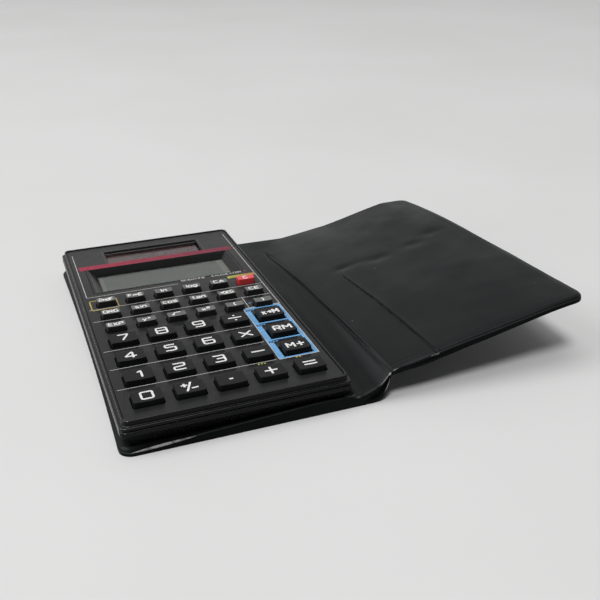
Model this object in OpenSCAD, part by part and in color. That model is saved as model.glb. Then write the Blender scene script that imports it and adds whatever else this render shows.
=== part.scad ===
// Pocket scientific calculator on the back leaf of an open vinyl wallet.
// Millimetres. X to the right, Y to the back, Z up from the table under the middle of the case.

/* [Case] */
// Width of the case at its shoulder
case_w = 70; // [63:0.5:84]
// Length of the case at its shoulder
case_l = 134; // [121:0.5:150]
// Corner radius of the case seen from above
corner_r = 2; // [1:0.25:4]
// Height of the lower case
lower_h = 5.9; // [5.6:0.1:8]
// Height of the upright band at the top of the lower case
band_h = 1.5; // [1:0.1:2]
// How far the lower edge of the case draws in
bevel_in = 2.5; // [1:0.1:3]
// Thickness of the case walls
wall = 1.7; // [1.2:0.1:2]
// Thickness of the floor of the lower case
floor_t = 1.4; // [1.2:0.1:1.6]
// Height of the shoulder of the upper case
shoulder_h = 1.2; // [0.8:0.1:1.6]
// Width of the step from the shoulder to the rim
shoulder_in = 1; // [0.5:0.1:1.4]
// Height of the rim above the shoulder
rim_h = 1.8; // [1.6:0.1:2.4]
// Thickness of the rim
rim_t = 0.7; // [0.5:0.1:1]
// Height of the groove at the parting line
groove_h = 0.4; // [0.2:0.05:0.6]
// Depth of the groove at the parting line
groove_d = 0.4; // [0.2:0.05:0.6]
// Thickness of the deck under the face plate
deck_t = 1; // [0.8:0.1:1.1]

/* [Face plate] */
// Thickness of the face plate
plate_t = 0.7; // [0.5:0.1:0.8]
// How far the face plate lies below the rim
plate_drop = 0.4; // [0.2:0.1:0.5]
// Gap between a fixed piece and its seat
fit_gap = 0.15; // [0.1:0.05:0.25]

/* [Display] */
// Distance from the back of the case to the middle of the display
display_back = 34.8; // [34:0.1:36]
// Distance from the side of the case to the display opening
display_side = 7.3; // [7:0.1:10]
// Depth of the display opening in the face
display_d = 21.8; // [20:0.2:22]
// Depth of the display window below the face
display_drop = 1.9; // [1.7:0.1:2.1]
// Run of the sloped sides of the display opening, left and right
slope_x = 3; // [2:0.1:3.5]
// Run of the sloped sides of the display opening, front and back
slope_y = 3.8; // [3:0.1:4]
// Wall of the display frame round the opening
bezel_wall = 0.9; // [0.6:0.1:1.1]
// Width of the flange of the display frame under the deck
bezel_flange = 1.2; // [0.8:0.1:1.4]
// Width of the seat of the display window
window_seat = 1.3; // [0.8:0.1:1.6]
// Thickness of the display window
window_t = 0.7; // [0.5:0.1:0.8]
// Thickness of the liquid crystal panel
lcd_t = 1.2; // [1:0.1:1.3]
// Width of each conductive rubber strip
zebra_d = 1.8; // [1.2:0.1:2]

/* [Solar cell] */
// Distance from the back of the case to the middle of the solar cell
solar_back = 13.9; // [13:0.1:14.5]
// Distance from the side of the case to the solar opening
solar_side = 16; // [13:0.5:20]
// Depth of the solar opening
solar_d = 12.2; // [10:0.2:13]
// Depth of the solar window below the face
solar_drop = 1.3; // [1.1:0.1:1.5]
// Width of the seat of the solar window
solar_seat = 0.9; // [0.6:0.1:1.1]
// Thickness of the solar window
solar_window_t = 0.8; // [0.7:0.1:1]
// Thickness of the solar cell
cell_t = 0.8; // [0.6:0.1:1]
// Diameter of the solar leads
lead_dia = 0.7; // [0.4:0.1:1]

/* [Small keys] */
// Width of a small key
small_w = 6.7; // [5:0.1:7.5]
// Depth of a small key
small_d = 3.6; // [3.2:0.1:5]
// Height of a small key above the face
small_h = 2.2; // [1.2:0.1:2.3]
// Distance from the side of the case to the middle of the first small key
small_side = 9.175; // [9:0.005:9.9]
// Distance from the back of the case to the middle of the last row of small keys
keys_back = 56.65; // [54:0.05:60]
// How much closer together two rows of small keys lie than two rows of large keys
small_trim = 2.3; // [1.5:0.1:2.6]

/* [Large keys] */
// Width of a large key
large_w = 9; // [7:0.1:9.4]
// Depth of a large key
large_d = 6.6; // [5:0.1:7]
// Height of a large key above the face
large_h = 1.95; // [1.2:0.05:2.2]
// Distance from the side of the case to the middle of the first large key
large_side = 9.94; // [9:0.01:10.5]
// Distance from the front of the case to the middle of the first row of large keys
keys_front = 10.25; // [10.1:0.05:11]
// How much closer a row of small keys lies to a row of large keys than two rows of large keys
mixed_trim = 2.7; // [2:0.1:3]

/* [Key details] */
// Corner radius of the keys
key_corner_r = 0.7; // [0.3:0.1:1.2]
// Gap round a key in its hole
key_gap = 0.25; // [0.2:0.05:0.35]
// Depth of the dish in the top of a key
key_dish = 0.2; // [0.1:0.05:0.4]
// How far the flange of a key reaches past its sides
flange_out = 0.65; // [0.5:0.05:0.7]
// Thickness of the flange of a key
flange_t = 1; // [0.6:0.1:1.1]
// Gap between the flange of a key and the deck
flange_gap = 0.1; // [0.05:0.05:0.2]
// Height of the plunger under a key
plunger_h = 0.5; // [0.3:0.1:0.6]
// Diameter of the plunger under a key
plunger_dia = 2.8; // [2:0.1:3.2]

/* [Circuit board] */
// Thickness of the circuit board
board_t = 1; // [0.8:0.1:1.1]
// Height of the ribs that carry the circuit board
rib_h = 1; // [0.8:0.1:1.1]
// Thickness of the ribs in the lower case
rib_t = 1.2; // [0.8:0.1:2]
// Gap between the circuit board and the case walls
board_gap = 0.4; // [0.3:0.1:0.6]
// Thickness of the sheet of the key mat
mat_t = 0.5; // [0.3:0.1:0.6]
// Diameter of a dome of the key mat at its foot
dome_dia = 4.4; // [3.6:0.1:5]
// Width of the processor
chip_w = 10; // [6:0.5:11]
// Thickness of the processor
chip_t = 1; // [0.6:0.1:1.1]
// Diameter of the supply capacitors
capacitor_dia = 2.2; // [1.6:0.1:2.3]
// Length of the supply capacitors
capacitor_l = 6; // [4:0.5:9]
// Gap under the supply capacitors
capacitor_gap = 0.05; // [0.03:0.01:0.1]

/* [Screws] */
// Distance of the case screws from the sides of the case
screw_side = 4.7; // [4.6:0.1:5]
// Distance of the case screws from the ends of the case
screw_end = 4.2; // [4.1:0.1:4.3]
// Diameter of the screw shank
screw_dia = 1.6; // [1.4:0.1:1.7]
// Diameter of the screw head
screw_head_dia = 2.6; // [2.2:0.1:2.7]
// Height of the screw head
screw_head_h = 0.8; // [0.6:0.1:0.9]
// Diameter of the screw bosses
boss_dia = 3; // [2.6:0.1:3.1]
// Height of the joint between the screw bosses above the floor
boss_split = 1.8; // [1.4:0.1:2]
// Gap round a screw in the case
screw_gap = 0.05; // [0.03:0.01:0.1]
// Gap over the tip of a screw
tip_gap = 0.2; // [0.1:0.05:0.4]

/* [Wallet] */
// Margin of the back leaf in front of the case
margin_front = 0.8; // [0.4:0.1:3]
// Margin of the back leaf behind the case
margin_back = 1.3; // [0.4:0.1:3]
// Margin of the back leaf on the left of the case
margin_left = 0.8; // [0.4:0.1:3]
// Distance from the case to the fold line of the back leaf
fold_out = 1.4; // [1.3:0.1:3]
// Corner radius of the leaves
leaf_r = 4; // [2:0.5:8]
// Thickness of the outer vinyl skin
skin_t = 0.6; // [0.4:0.1:0.8]
// Thickness of the stiff boards in the leaves
stiff_t = 0.8; // [0.6:0.1:1]
// Thickness of the vinyl lining
lining_t = 0.4; // [0.3:0.1:0.6]
// Width of the welded border of a leaf
weld_w = 2.5; // [1.5:0.1:4]
// Width of the tongue that locates the case
tongue_w = 36; // [20:1:44]
// Length of the tongue that locates the case
tongue_l = 60; // [30:1:80]
// Height of the tongue above the lining
tongue_h = 0.8; // [0.5:0.1:0.9]

/* [Spine and cover] */
// Width of the spine from fold to crease
spine_w = 13.57; // [13:0.01:15]
// Thickness of the spine
spine_t = 1.2; // [0.8:0.1:1.4]
// Slope of the spine as it lies open
spine_tilt = 18.7; // [14:0.1:24]
// Gap round the fold between back leaf and spine
hinge_gap = 0.4; // [0.3:0.05:0.6]
// Gap between the spine and the cover at the crease
crease_gap = 0.7; // [0.5:0.05:0.9]
// Width of the cover from the crease to its outer edge
cover_w = 70.5; // [64:0.5:80]
// Slope of the cover from the crease to its outer edge as it lies open
cover_lift = 11.7; // [9:0.1:16]
// Slope of the cover from its front edge to its back edge
cover_dip = 3.6; // [3:0.1:3.6]
// Turn of the cover seen from above
cover_yaw = 1; // [0:0.1:2]
// Distance from the crease to the slit of the pocket
pocket_slit = 15.3; // [8:0.1:30]
// Length of the pocket from the front edge of the cover
pocket_l = 79; // [40:1:110]
// Thickness of the pocket sheet
pocket_t = 0.35; // [0.2:0.05:0.5]

/* [Hidden] */
$fn = 48;
cut = 1;

// Heights, from the table up
back_t = skin_t + stiff_t + lining_t;
base_z = back_t;
floor_z = base_z + floor_t;
board_z = floor_z + rib_h;
board_top = board_z + board_t;
mat_top = board_top + mat_t;
part_z = base_z + lower_h;
band_z = part_z - band_h;
shoulder_z = part_z + shoulder_h;
rim_z = shoulder_z + rim_h;
face_z = rim_z - plate_drop;
deck_top = face_z - plate_t;
deck_z = deck_top - deck_t;
flange_z = deck_z - flange_gap - flange_t;
plunger_z = flange_z - plunger_h;
window_top = face_z - display_drop;
window_z = window_top - window_t;
lcd_z = window_z - lcd_t;
solar_top = face_z - solar_drop;
solar_window_z = solar_top - solar_window_t;
cell_z = solar_window_z - cell_t;

// Face layout
plate_w = case_w - 2 * (shoulder_in + rim_t + fit_gap);
plate_l = case_l - 2 * (shoulder_in + rim_t + fit_gap);
display_w = case_w - 2 * display_side;
display_y = case_l / 2 - display_back;
solar_w = case_w - 2 * solar_side;
solar_y = case_l / 2 - solar_back;
bezel_w = display_w + 2 * bezel_wall;
bezel_d = display_d + 2 * bezel_wall;
flange_w = bezel_w + 2 * bezel_flange;
flange_d = bezel_d + 2 * bezel_flange;
glass_w = display_w - 2 * slope_x + 2 * window_seat;
glass_d = display_d - 2 * slope_y + 2 * window_seat;
lcd_w = glass_w + 2 * window_seat;
lcd_d = glass_d + 2 * window_seat;
solar_glass_w = solar_w + 2 * solar_seat;
solar_glass_d = solar_d + 2 * solar_seat;

small_names = [
    ["second_function", "notation", "ln", "log", "clear_all", "clear"],
    ["angle_unit", "sin", "cos", "tan", "sexagesimal", "clear_entry"],
    ["exponent", "power", "root", "square", "open_bracket", "close_bracket"]
];
large_names = [
    ["7", "8", "9", "divide", "store"],
    ["4", "5", "6", "multiply", "recall"],
    ["1", "2", "3", "subtract", "memory_add"],
    ["0", "sign", "point", "add", "equals"]
];
small_rows = len(small_names);
small_cols = len(small_names[0]);
large_rows = len(large_names);
large_cols = len(large_names[0]);
small_pitch_x = (case_w - 2 * small_side) / (small_cols - 1);
large_pitch_x = (case_w - 2 * large_side) / (large_cols - 1);
keys_l = case_l - keys_front - keys_back;
large_pitch_y = (keys_l + mixed_trim + (small_rows - 1) * small_trim) / (large_rows + small_rows - 1);
small_pitch_y = large_pitch_y - small_trim;
large_front_y = -case_l / 2 + keys_front;
large_back_y = large_front_y + (large_rows - 1) * large_pitch_y;
small_back_y = case_l / 2 - keys_back;

// Middle of the key in a row, counted from the back, and a column
function small_at(r, c) = [(c - (small_cols - 1) / 2) * small_pitch_x, small_back_y - r * small_pitch_y];
function large_at(r, c) = [(c - (large_cols - 1) / 2) * large_pitch_x, large_back_y - r * large_pitch_y];
small_places = [for (r = [0:small_rows - 1], c = [0:small_cols - 1]) small_at(r, c)];
large_places = [for (r = [0:large_rows - 1], c = [0:large_cols - 1]) large_at(r, c)];

// Circuit board and key mat
mat_edge = flange_out + key_gap;
mat_w = (large_cols - 1) * large_pitch_x + large_w + 2 * mat_edge;
mat_front = large_front_y - large_d / 2 - mat_edge;
mat_back = small_back_y + small_d / 2 + mat_edge;
board_w = case_w - 2 * (wall + bevel_at(board_z) + board_gap);
board_front = -case_l / 2 + wall + bevel_at(board_z) + board_gap;
board_back = solar_y - solar_glass_d / 2 - board_gap;
capacitor_x = max(flange_w, lcd_w) / 2 + capacitor_dia / 2 - bezel_flange;
zebra_y = lcd_d / 2 - zebra_d / 2;

// Screws
screw_x = case_w / 2 - screw_side;
screw_y = case_l / 2 - screw_end;
split_z = floor_z + boss_split;

// Wallet, with the fold line of the back leaf along Y
fold_x = case_w / 2 + fold_out;
fold_z = back_t / 2;
leaf_x = -case_w / 2 - margin_left;
leaf_y = -case_l / 2 - margin_front;
leaf_l = case_l + margin_front + margin_back;
leaf_mid = leaf_y + leaf_l / 2;
cover_t = skin_t + stiff_t + lining_t;
crease_x = fold_x + spine_w * cos(spine_tilt);
crease_z = fold_z + spine_w * sin(spine_tilt);

// How far the sloped lower side of the case has drawn in at a height
function bevel_at(z) = bevel_in * max(0, band_z - z) / (band_z - base_z);

// Section of the lower case of a width, from a height up to the parting line
function bevelled_section(w, z) = [
    [-w / 2 + bevel_at(z), z], [w / 2 - bevel_at(z), z], [w / 2, band_z], [w / 2, part_z + cut],
    [-w / 2, part_z + cut], [-w / 2, band_z]
];

// Section of the display opening, narrow at the window and wide at the face
function well_section(w, slope) = [
    [-w / 2 + slope, window_top - cut], [w / 2 - slope, window_top - cut], [w / 2 - slope, window_top],
    [w / 2, face_z], [w / 2, face_z + cut], [-w / 2, face_z + cut], [-w / 2, face_z], [-w / 2 + slope, window_top]
];

module rounded_rect(w, l, r) {
    square([w - 2 * r, l], center = true);
    square([w, l - 2 * r], center = true);
    for (x = [-1, 1], y = [-1, 1]) translate([x * (w / 2 - r), y * (l / 2 - r)]) circle(r);
}

module rounded_slab(w, l, r, z0, z1) {
    translate([0, 0, z0]) linear_extrude(z1 - z0) rounded_rect(w, l, r);
}

module slab(w, l, z0, z1) {
    translate([-w / 2, -l / 2, z0]) cube([w, l, z1 - z0]);
}

// Body with one section seen from the front and one seen from the side
module crossed_sections(front, side) {
    intersection() {
        rotate([90, 0, 0]) linear_extrude(2 * case_l, center = true) polygon(front);
        rotate([90, 0, 90]) linear_extrude(2 * case_l, center = true) polygon(side);
    }
}

module at_screws() {
    for (x = [-1, 1], y = [-1, 1]) translate([x * screw_x, y * screw_y, 0]) children();
}

module key_holes(z0, z1) {
    hole_r = key_corner_r + key_gap;
    for (p = small_places)
        translate(p) rounded_slab(small_w + 2 * key_gap, small_d + 2 * key_gap, hole_r, z0, z1);
    for (p = large_places)
        translate(p) rounded_slab(large_w + 2 * key_gap, large_d + 2 * key_gap, hole_r, z0, z1);
}

module face_openings(z0, z1) {
    key_holes(z0, z1);
    translate([0, display_y, 0]) slab(bezel_w + 2 * fit_gap, bezel_d + 2 * fit_gap, z0, z1);
    translate([0, solar_y, 0]) slab(solar_w, solar_d, z0, z1);
}

module upper_case() {
    recess = plate_w + 2 * fit_gap;
    recess_l = plate_l + 2 * fit_gap;
    color([0.16, 0.17, 0.17]) difference() {
        union() {
            difference() {
                union() {
                    rounded_slab(case_w, case_l, corner_r, part_z, shoulder_z);
                    rounded_slab(case_w - 2 * shoulder_in, case_l - 2 * shoulder_in, corner_r, part_z, rim_z);
                }
                slab(case_w - 2 * wall, case_l - 2 * wall, part_z - cut, deck_z);
                parting_groove(part_z - cut, part_z + groove_h / 2);
            }
            at_screws() translate([0, 0, split_z]) cylinder(d = boss_dia, h = deck_z - split_z);
        }
        rounded_slab(recess, recess_l, corner_r, deck_top, rim_z + cut);
        face_openings(deck_z - cut, deck_top + cut);
        translate([0, solar_y, 0])
            slab(solar_glass_w + 2 * fit_gap, solar_glass_d + 2 * fit_gap, deck_z - cut, solar_top);
        at_screws() translate([0, 0, split_z - cut])
            cylinder(d = screw_dia + 2 * screw_gap, h = deck_z - split_z + cut);
    }
}

// Ring cut out of the outer face of both case halves
module parting_groove(z0, z1) {
    difference() {
        slab(2 * case_w, 2 * case_l, z0, z1);
        rounded_slab(case_w - 2 * groove_d, case_l - 2 * groove_d, corner_r, z0 - cut, z1 + cut);
    }
}

module lower_shell() {
    difference() {
        intersection() {
            rounded_slab(case_w, case_l, corner_r, base_z, part_z);
            crossed_sections(bevelled_section(case_w, base_z), bevelled_section(case_l, base_z));
        }
        crossed_sections(bevelled_section(case_w - 2 * wall, floor_z), bevelled_section(case_l - 2 * wall, floor_z));
        parting_groove(part_z - groove_h / 2, part_z + cut);
        slab(tongue_w + 2 * fit_gap, tongue_l + 2 * fit_gap, base_z - cut, base_z + tongue_h + fit_gap);
    }
}

// Ribs across the floor that carry the circuit board
module board_ribs() {
    rib_w = board_w - 2 * boss_dia;
    reach = board_back - board_front;
    for (share = [0.1, 0.35, 0.65, 0.95])
        translate([0, board_front + share * reach, 0]) slab(rib_w, rib_t, floor_z, board_z);
}

// Two upright ribs that carry the solar cell
module cell_ribs() {
    for (side = [-1, 1]) translate([side * solar_w / 3, solar_y, 0]) slab(rib_t, solar_d, floor_z, cell_z);
}

module lower_case() {
    color([0.15, 0.16, 0.16]) difference() {
        union() {
            lower_shell();
            board_ribs();
            cell_ribs();
            at_screws() translate([0, 0, base_z]) cylinder(d = boss_dia, h = split_z - base_z);
        }
        at_screws() translate([0, 0, base_z - cut]) {
            cylinder(d = screw_dia + 2 * screw_gap, h = split_z - base_z + 2 * cut);
            cylinder(d = screw_head_dia + 2 * screw_gap, h = screw_head_h + screw_gap + cut);
        }
    }
}

module face_plate() {
    color([0.2, 0.21, 0.21]) difference() {
        rounded_slab(plate_w, plate_l, corner_r, deck_top, face_z);
        face_openings(deck_top - cut, face_z + cut);
    }
}

module display_bezel() {
    color([0.17, 0.18, 0.18]) translate([0, display_y, 0]) difference() {
        union() {
            slab(bezel_w, bezel_d, deck_z, face_z);
            slab(flange_w, flange_d, window_z, deck_z);
        }
        crossed_sections(well_section(display_w, slope_x), well_section(display_d, slope_y));
        slab(glass_w + 2 * fit_gap, glass_d + 2 * fit_gap, window_z - cut, window_top);
    }
}

module display_window() {
    color([0.7, 0.75, 0.72]) translate([0, display_y, 0]) slab(glass_w, glass_d, window_z, window_top);
}

module lcd_glass() {
    color([0.45, 0.5, 0.46]) translate([0, display_y, 0]) slab(lcd_w, lcd_d, lcd_z, window_z);
}

module zebra_connector() {
    color([0.75, 0.55, 0.6]) for (side = [-1, 1])
        translate([0, display_y + side * zebra_y, 0]) slab(glass_w, zebra_d, board_top, lcd_z);
}

module solar_window() {
    color([0.5, 0.42, 0.45])
        translate([0, solar_y, 0]) slab(solar_glass_w, solar_glass_d, solar_window_z, solar_top);
}

module solar_cell() {
    color([0.35, 0.25, 0.27]) translate([0, solar_y, 0]) slab(solar_w, solar_d, cell_z, solar_window_z);
}

// Two bent wires from the underside of the cell to the circuit board
module solar_leads() {
    start_y = solar_y - solar_d / 2 + lead_dia;
    end_y = board_back - 2 * lead_dia;
    bend_z = (cell_z + board_top) / 2;
    color([0.7, 0.2, 0.15]) for (side = [-1, 1]) translate([side * solar_w / 5, 0, 0]) {
        translate([0, start_y, bend_z]) cylinder(d = lead_dia, h = cell_z - bend_z);
        translate([0, start_y, bend_z]) sphere(d = lead_dia);
        translate([0, start_y, bend_z]) rotate([90, 0, 0]) cylinder(d = lead_dia, h = start_y - end_y);
        translate([0, end_y, bend_z]) sphere(d = lead_dia);
        translate([0, end_y, board_top]) cylinder(d = lead_dia, h = bend_z - board_top);
    }
}

module circuit_board() {
    color([0.2, 0.45, 0.25]) difference() {
        translate([-board_w / 2, board_front, board_z]) cube([board_w, board_back - board_front, board_t]);
        at_screws() translate([0, 0, board_z - cut]) cylinder(d = boss_dia + 2 * board_gap, h = board_t + 2 * cut);
    }
}

module processor_chip() {
    color([0.1, 0.1, 0.1]) translate([0, display_y, 0]) slab(chip_w, chip_w, board_top, board_top + chip_t);
}

module supply_capacitors() {
    color([0.15, 0.2, 0.45]) for (side = [-1, 1])
        translate([side * capacitor_x, display_y + capacitor_l / 2, board_top + capacitor_dia / 2 + capacitor_gap])
            rotate([90, 0, 0]) cylinder(d = capacitor_dia, h = capacitor_l);
}

module key_mat() {
    color([0.55, 0.55, 0.53]) {
        translate([-mat_w / 2, mat_front, board_top]) cube([mat_w, mat_back - mat_front, mat_t]);
        for (p = concat(small_places, large_places))
            translate([p.x, p.y, mat_top]) cylinder(d1 = dome_dia, d2 = plunger_dia, h = plunger_z - mat_top);
    }
}

module case_screws() {
    color([0.7, 0.7, 0.72]) at_screws() {
        translate([0, 0, base_z]) cylinder(d = screw_head_dia, h = screw_head_h);
        translate([0, 0, base_z]) cylinder(d = screw_dia, h = deck_z - tip_gap - base_z);
    }
}

// Key with a dished top, a flange that holds it under the deck and a plunger on its dome
module key(w, d, h) {
    top_z = face_z + h;
    dish_r = w * w / (8 * key_dish);
    difference() {
        union() {
            rounded_slab(w, d, key_corner_r, flange_z, top_z);
            rounded_slab(w + 2 * flange_out, d + 2 * flange_out, key_corner_r, flange_z, flange_z + flange_t);
            translate([0, 0, plunger_z]) cylinder(d = plunger_dia, h = plunger_h);
        }
        translate([0, 0, top_z + dish_r - key_dish])
            rotate([90, 0, 0]) cylinder(r = dish_r, h = 2 * d, center = true, $fn = 360);
    }
}

module small_key(r, c) {
    color(small_names[r][c] == "clear" ? [0.85, 0.22, 0.2] : [0.13, 0.13, 0.13])
        translate(small_at(r, c)) key(small_w, small_d, small_h);
}

module large_key(r, c) {
    color([0.12, 0.12, 0.13]) translate(large_at(r, c)) key(large_w, large_d, large_h);
}

// Outline of a leaf that starts at a straight edge on X = 0 and has two round corners at X = w
module leaf_plan(w, l, r) {
    translate([0, -l / 2]) square([w - r, l]);
    translate([0, -l / 2 + r]) square([w, l - 2 * r]);
    for (side = [-1, 1]) translate([w - r, side * (l / 2 - r)]) circle(r);
}

// Leaf plan drawn in by a welded border on its three free sides and at its straight edge
module board_plan(w, l, gap) {
    edge = weld_w + gap;
    translate([edge, -l / 2 + edge]) square([w - 2 * edge, l - 2 * edge]);
}

// The back leaf runs to the left from the fold
module at_back() {
    translate([fold_x, leaf_mid, 0]) mirror([1, 0, 0]) children();
}

module wallet_back_leaf() {
    w = fold_x - leaf_x;
    color([0.14, 0.15, 0.15]) {
        at_back() {
            linear_extrude(skin_t) leaf_plan(w, leaf_l, leaf_r);
            translate([0, 0, skin_t]) linear_extrude(stiff_t) difference() {
                leaf_plan(w, leaf_l, leaf_r);
                board_plan(w, leaf_l, 0);
            }
        }
        translate([fold_x, leaf_y, fold_z]) rotate([-90, 0, 0]) cylinder(d = back_t, h = leaf_l);
    }
}

module wallet_back_stiffener() {
    color([0.6, 0.55, 0.45]) {
        at_back() translate([0, 0, skin_t]) linear_extrude(stiff_t) board_plan(fold_x - leaf_x, leaf_l, fit_gap);
        slab(tongue_w, tongue_l, skin_t, base_z + tongue_h);
    }
}

module wallet_back_lining() {
    w = fold_x - leaf_x;
    color([0.18, 0.19, 0.19]) difference() {
        at_back() translate([0, 0, skin_t + stiff_t]) linear_extrude(lining_t) difference() {
            leaf_plan(w, leaf_l, leaf_r);
            translate([-cut, -leaf_l]) square([cut + back_t / 2 + fit_gap, 2 * leaf_l]);
        }
        slab(tongue_w + 2 * fit_gap, tongue_l + 2 * fit_gap, 0, back_t + cut);
    }
}

module wallet_spine() {
    color([0.15, 0.16, 0.16]) translate([fold_x, leaf_mid, fold_z]) rotate([0, -spine_tilt, 0]) difference() {
        translate([0, -leaf_l / 2, -spine_t / 2]) cube([spine_w, leaf_l, spine_t]);
        rotate([90, 0, 0]) cylinder(d = back_t + 2 * hinge_gap, h = 2 * leaf_l, center = true);
    }
}

// The cover's own frame: X from the crease to the outer edge, Z out of its inner face
module at_cover() {
    translate([crease_x, leaf_mid, crease_z]) rotate([-cover_dip, -cover_lift, -cover_yaw])
        translate([0, 0, -cover_t / 2]) children();
}

module wallet_cover_leaf() {
    color([0.15, 0.16, 0.16]) at_cover() {
        linear_extrude(skin_t) difference() {
            leaf_plan(cover_w, leaf_l, leaf_r);
            translate([-cut, -leaf_l]) square([cut + crease_gap, 2 * leaf_l]);
        }
        translate([weld_w, 0, skin_t]) linear_extrude(stiff_t) difference() {
            leaf_plan(cover_w - weld_w, leaf_l, leaf_r);
            board_plan(cover_w - weld_w, leaf_l, 0);
        }
    }
}

module wallet_cover_board() {
    color([0.6, 0.55, 0.45]) at_cover()
        translate([weld_w, 0, skin_t]) linear_extrude(stiff_t) board_plan(cover_w - weld_w, leaf_l, fit_gap);
}

module wallet_cover_pocket() {
    color([0.18, 0.19, 0.19]) at_cover() translate([0, 0, skin_t + stiff_t]) {
        translate([weld_w, 0, 0]) linear_extrude(lining_t) leaf_plan(cover_w - weld_w, leaf_l, leaf_r);
        linear_extrude(lining_t + pocket_t) intersection() {
            leaf_plan(cover_w, leaf_l, leaf_r);
            translate([pocket_slit, -leaf_l / 2]) square([cover_w, pocket_l]);
        }
    }
}

upper_case();
lower_case();
face_plate();
display_bezel();
display_window();
lcd_glass();
zebra_connector();
solar_window();
solar_cell();
solar_leads();
circuit_board();
processor_chip();
supply_capacitors();
key_mat();
case_screws();
wallet_back_leaf();
wallet_back_stiffener();
wallet_back_lining();
wallet_spine();
wallet_cover_leaf();
wallet_cover_board();
wallet_cover_pocket();
for (r = [0:small_rows - 1], c = [0:small_cols - 1])
    small_key(r, c);
for (r = [0:large_rows - 1], c = [0:large_cols - 1])
    large_key(r, c);
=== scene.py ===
"""Looks for a pocket scientific calculator that lies on its open vinyl wallet.

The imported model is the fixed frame, in metres. Lengths in this script are millimetres until a mesh is made.
X runs to the right, Y to the back and Z up from the table.
"""
import math

import bmesh
import bpy
from mathutils import Euler, Matrix, Vector, noise


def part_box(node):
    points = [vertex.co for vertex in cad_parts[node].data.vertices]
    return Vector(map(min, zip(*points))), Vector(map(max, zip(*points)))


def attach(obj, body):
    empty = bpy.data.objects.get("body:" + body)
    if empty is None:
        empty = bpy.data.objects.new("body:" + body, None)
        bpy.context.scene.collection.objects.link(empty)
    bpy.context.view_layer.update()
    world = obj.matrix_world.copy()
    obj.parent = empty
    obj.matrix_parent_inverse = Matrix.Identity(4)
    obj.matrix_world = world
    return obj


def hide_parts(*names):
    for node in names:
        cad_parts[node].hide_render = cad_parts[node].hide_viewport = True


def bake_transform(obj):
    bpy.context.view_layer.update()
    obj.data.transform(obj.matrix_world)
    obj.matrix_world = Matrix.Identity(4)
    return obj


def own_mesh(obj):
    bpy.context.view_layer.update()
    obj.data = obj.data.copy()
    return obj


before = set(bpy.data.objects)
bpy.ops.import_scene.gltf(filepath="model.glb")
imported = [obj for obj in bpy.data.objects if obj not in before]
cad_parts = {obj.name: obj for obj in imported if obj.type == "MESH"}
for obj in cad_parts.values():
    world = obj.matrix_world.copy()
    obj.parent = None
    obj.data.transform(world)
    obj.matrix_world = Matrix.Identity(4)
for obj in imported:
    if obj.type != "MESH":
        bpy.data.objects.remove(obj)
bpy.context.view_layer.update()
MM = 0.001

# Heights and sizes that the part's source gives
FACE_Z = 10.3
LEAF_T = 1.8
LEAF_HALF = 68.05
LEAF_MID = 0.25
LEAF_LEFT = -35.8
COVER_W = 70.5
CREASE = Vector((49.25364, 0.25, 5.25072))
COVER_TURN = Euler((math.radians(-3.6), math.radians(-11.7), math.radians(-1)), "XYZ").to_matrix()
ACROSS = COVER_TURN.col[0]
ALONG = COVER_TURN.col[1]
OUT = COVER_TURN.col[2]

# Key layout
SMALL_KEY = {"w": 6.7, "d": 3.6, "top": 12.5}
LARGE_KEY = {"w": 9.0, "d": 6.6, "top": 12.25}
SMALL_PITCH = (10.33, 10.1)
LARGE_PITCH = (12.53, 12.4)
SMALL_BACK_Y = 10.35
LARGE_BACK_Y = -19.55
DISPLAY_Y = 32.2
SOLAR_Y = 53.1


# Camera, floor and light

def make_camera():
    azimuth = math.radians(-20.984)
    elevation = math.radians(25.902)
    roll = math.radians(0.331)
    target = Vector((46.838, 8.141, 0)) * MM
    distance = 0.318013
    back = Vector((math.sin(azimuth) * math.cos(elevation), -math.cos(azimuth) * math.cos(elevation),
                   math.sin(elevation)))
    level = (-back).cross(Vector((0, 0, 1))).normalized()
    plumb = (-back).cross(level)
    right = level * math.cos(roll) + plumb * math.sin(roll)
    up = level * math.sin(roll) - plumb * math.cos(roll)
    data = bpy.data.cameras.new("camera")
    data.lens = 49.405
    data.sensor_width = 36
    data.clip_start = 0.01
    camera = bpy.data.objects.new("camera", data)
    turn = Matrix((right, up, back)).transposed().to_4x4()
    camera.matrix_world = Matrix.Translation(target + back * distance) @ turn
    bpy.context.collection.objects.link(camera)
    bpy.context.scene.camera = camera


def make_lamp(name, place, size, energy):
    """Round soft lamp that faces the middle of the table."""
    data = bpy.data.lights.new(name, "AREA")
    data.shape = "DISK"
    data.size = size
    data.energy = energy
    lamp = bpy.data.objects.new(name, data)
    lamp.location = place
    lamp.rotation_euler = (-Vector(place)).to_track_quat("-Z", "Y").to_euler()
    bpy.context.collection.objects.link(lamp)


def neutral(level):
    return (level, level, level)


def make_world():
    """Studio light that is palest near the horizon, and dark in front above it."""
    world = bpy.data.worlds.new("studio")
    bpy.context.scene.world = world
    world.use_nodes = True
    tree = world.node_tree
    coords = add_node(tree, "ShaderNodeTexCoord")
    way = add_node(tree, "ShaderNodeSeparateXYZ", {"Vector": coords.outputs["Generated"]})
    shades = add_ramp(tree, way.outputs["Z"], [(0.0, neutral(0.56)), (0.35, neutral(0.46)),
                                               (0.55, neutral(0.28)), (0.8, neutral(0.36))])
    side = add_node(tree, "ShaderNodeMapRange", {"Value": way.outputs["Y"], "From Min": -0.5,
                                                 "From Max": 0.3})
    front = add_ramp(tree, way.outputs["Z"], [(0.08, neutral(0.5)), (0.3, neutral(0.04))])
    light = add_mix(tree, side.outputs["Result"], front, shades)
    tree.links.new(light, tree.nodes["Background"].inputs["Color"])


# Material building blocks

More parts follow.
